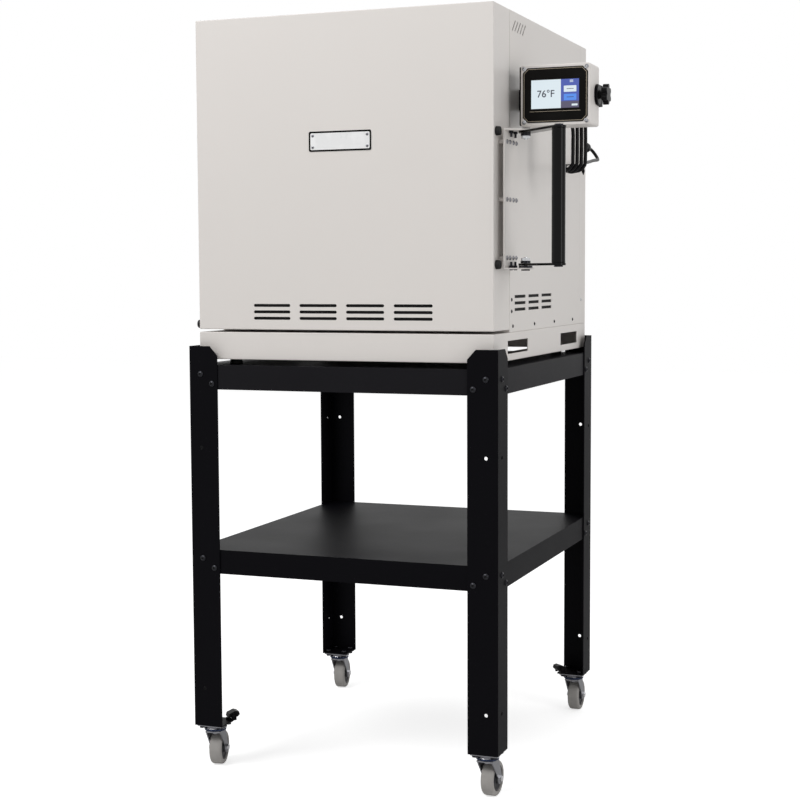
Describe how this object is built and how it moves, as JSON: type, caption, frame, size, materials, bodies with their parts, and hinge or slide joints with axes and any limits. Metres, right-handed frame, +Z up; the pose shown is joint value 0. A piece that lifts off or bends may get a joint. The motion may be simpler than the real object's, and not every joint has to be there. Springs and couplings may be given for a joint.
{
  "type": "electric kiln on wheeled stand",
  "caption": "Front-loading electric jewellery kiln with hinged door, swinging grip, tilting touch controller and a wheeled open stand with a shelf.",
  "frame": {"origin": "centre of the box round the object, without the cable, on the floor", "axes": "+Z up, +X to the right seen from the door, +Y from the door to the back"},
  "size_m": [0.912, 0.9321, 1.675],
  "materials": {
    "cream_paint": "satin powder coat",
    "black_paint": "satin powder coat",
    "black_gloss": "gloss",
    "zinc": "zinc plated",
    "dark_bolt": "black oxide",
    "firebrick": "matt, porous",
    "fibre": "matt fibre",
    "element": "oxidised",
    "rubber": "matt",
    "tyre": "matt",
    "black_plastic": "fine texture",
    "badge": "satin",
    "screen": "gloss",
    "cable": "satin"
  },
  "bodies": {
    "root": {"kiln_case": "cream_paint", "rear_cover": "cream_paint", "base_skirt": "cream_paint", "kiln_feet": "rubber", "case_insulation": "fibre", "firebrick_walls": "firebrick", "firebrick_roof": "firebrick", "firebrick_hearth": "firebrick", "heating_elements": "element", "thermocouple": "fibre", "case_screws": "zinc", "hinge_body_leaves": "zinc", "hinge_pins": "zinc", "controller_yoke": "black_paint", "rear_connectors": "black_plastic", "leg_front_left": "black_paint", "leg_front_right": "black_paint", "leg_rear_left": "black_paint", "leg_rear_right": "black_paint", "stand_deck": "black_paint", "stand_shelf": "black_paint", "stand_bolts": "dark_bolt", "caster_plates": "zinc", "cable_drop": "cable", "cable_hank": "cable", "cable_lead": "cable", "cable_plug": "cable"},
    "door": {"door_shell": "cream_paint", "door_insulation": "firebrick", "door_gasket": "fibre", "badge_plate": "badge", "handle_bracket": "cream_paint", "bracket_bolts": "dark_bolt", "door_bumpers": "rubber", "hinge_door_leaves": "zinc", "handle_pivots": "dark_bolt"},
    "handle": {"handle_grip": "black_gloss", "handle_arm_top": "black_paint", "handle_arm_bottom": "black_paint", "grip_bolts": "dark_bolt"},
    "controller": {"controller_box": "cream_paint", "controller_panel": "black_plastic", "touch_screen": "screen", "controller_screws": "zinc", "controller_gland": "black_plastic"},
    "knob": {"star_knob": "black_plastic"},
    "caster_front_left": {"fork_front_left": "zinc"},
    "wheel_front_left": {"wheel_front_left": "black_plastic", "tyre_front_left": "tyre"},
    "caster_front_right": {"fork_front_right": "zinc"},
    "wheel_front_right": {"wheel_front_right": "black_plastic", "tyre_front_right": "tyre"},
    "caster_rear_left": {"fork_rear_left": "zinc"},
    "wheel_rear_left": {"wheel_rear_left": "black_plastic", "tyre_rear_left": "tyre"},
    "caster_rear_right": {"fork_rear_right": "zinc"},
    "wheel_rear_right": {"wheel_rear_right": "black_plastic", "tyre_rear_right": "tyre"},
    "pedal_front_left": {"brake_pedal_front_left": "black_plastic"},
    "pedal_rear_right": {"brake_pedal_rear_right": "black_plastic"}
  },
  "joints": [
    {"name": "door_swing", "type": "hinge", "parent": "root", "child": "door", "pos_m": [-0.4435, -0.26671, 1.337], "axis": [0, 0, -1], "range_deg": [0, 170]},
    {"name": "handle_swing", "type": "hinge", "parent": "door", "child": "handle", "pos_m": [0.2975, -0.30971, 1.2735], "axis": [0, 0, -1], "range_deg": [0, 58]},
    {"name": "controller_tilt", "type": "hinge", "parent": "root", "child": "controller", "pos_m": [0.355, -0.23471, 1.492], "axis": [-1, 0, 0], "range_deg": [-5, 25], "deforming": ["cable_drop"]},
    {"name": "knob_turn", "type": "hinge", "parent": "controller", "child": "knob", "pos_m": [0.442, -0.23471, 1.492], "axis": [1, 0, 0], "continuous": true},
    {"name": "swivel_front_left", "type": "hinge", "parent": "root", "child": "caster_front_left", "pos_m": [-0.4185, -0.36571, 0.09], "axis": [0, 0, 1], "continuous": true},
    {"name": "roll_front_left", "type": "hinge", "parent": "caster_front_left", "child": "wheel_front_left", "pos_m": [-0.42384, -0.33822, 0.038], "axis": [0.9816, 0.1908, 0], "continuous": true},
    {"name": "swivel_front_right", "type": "hinge", "parent": "root", "child": "caster_front_right", "pos_m": [0.2315, -0.36571, 0.09], "axis": [0, 0, 1], "continuous": true},
    {"name": "roll_front_right", "type": "hinge", "parent": "caster_front_right", "child": "wheel_front_right", "pos_m": [0.23297, -0.33775, 0.038], "axis": [0.9986, -0.0523, 0], "continuous": true},
    {"name": "swivel_rear_left", "type": "hinge", "parent": "root", "child": "caster_rear_left", "pos_m": [-0.4185, 0.35629, 0.09], "axis": [0, 0, 1], "continuous": true},
    {"name": "roll_rear_left", "type": "hinge", "parent": "caster_rear_left", "child": "wheel_rear_left", "pos_m": [-0.4224, 0.38402, 0.038], "axis": [0.9903, 0.1392, 0], "continuous": true},
    {"name": "swivel_rear_right", "type": "hinge", "parent": "root", "child": "caster_rear_right", "pos_m": [0.2315, 0.35629, 0.09], "axis": [0, 0, 1], "continuous": true},
    {"name": "roll_rear_right", "type": "hinge", "parent": "caster_rear_right", "child": "wheel_rear_right", "pos_m": [0.2315, 0.38429, 0.038], "axis": [1, 0, 0], "continuous": true},
    {"name": "brake_front_left", "type": "hinge", "parent": "root", "child": "pedal_front_left", "pos_m": [-0.39022, -0.33742, 0.117], "axis": [-0.7071, 0.7071, 0], "range_deg": [0, 10]},
    {"name": "brake_rear_right", "type": "hinge", "parent": "root", "child": "pedal_rear_right", "pos_m": [0.20322, 0.32801, 0.117], "axis": [0.7071, -0.7071, 0], "range_deg": [0, 10]}
  ]
}
